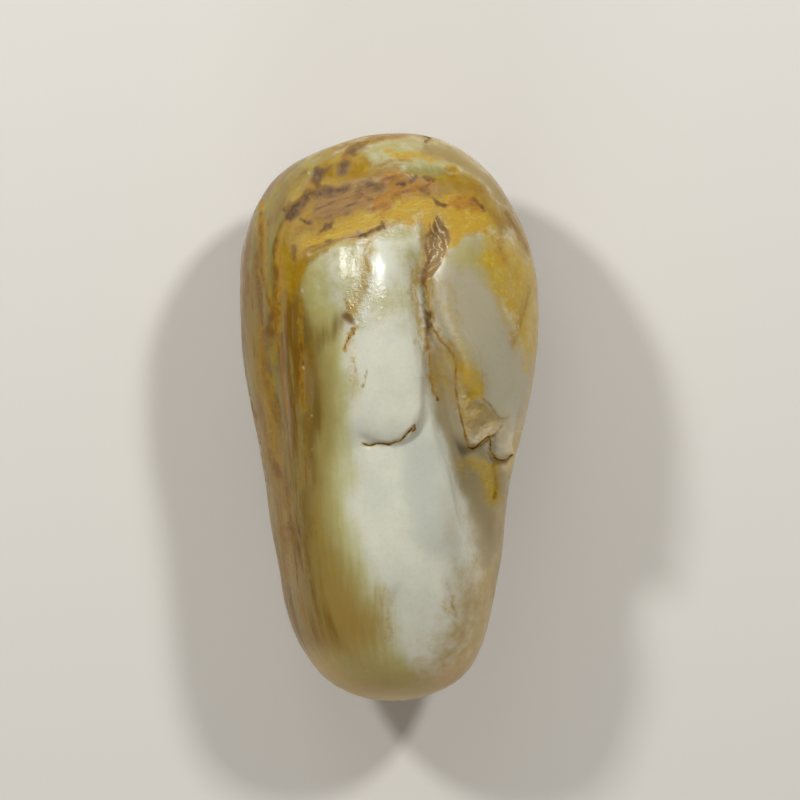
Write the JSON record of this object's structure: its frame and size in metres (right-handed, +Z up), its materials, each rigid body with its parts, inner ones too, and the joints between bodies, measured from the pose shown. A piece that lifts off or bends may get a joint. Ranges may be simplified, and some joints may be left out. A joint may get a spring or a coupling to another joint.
{
  "type": "river-worn jade pebble",
  "caption": "Hand-sized river-worn jade pebble, long and rounded with one broad end and folds, a cleft and a chip on its upper face, resting on a small worn flat.",
  "frame": {"origin": "on the ground, below the middle of the stone's box", "axes": "+Y along the stone towards its broad end, +Z up out of the folded face, +X across it"},
  "size_m": [0.0526, 0.1, 0.0436],
  "materials": {
    "jade": "waxy polish on grey-green stone with yellow and brown river skin"
  },
  "bodies": {
    "root": {"jade_pebble": "jade"}
  },
  "joints": []
}
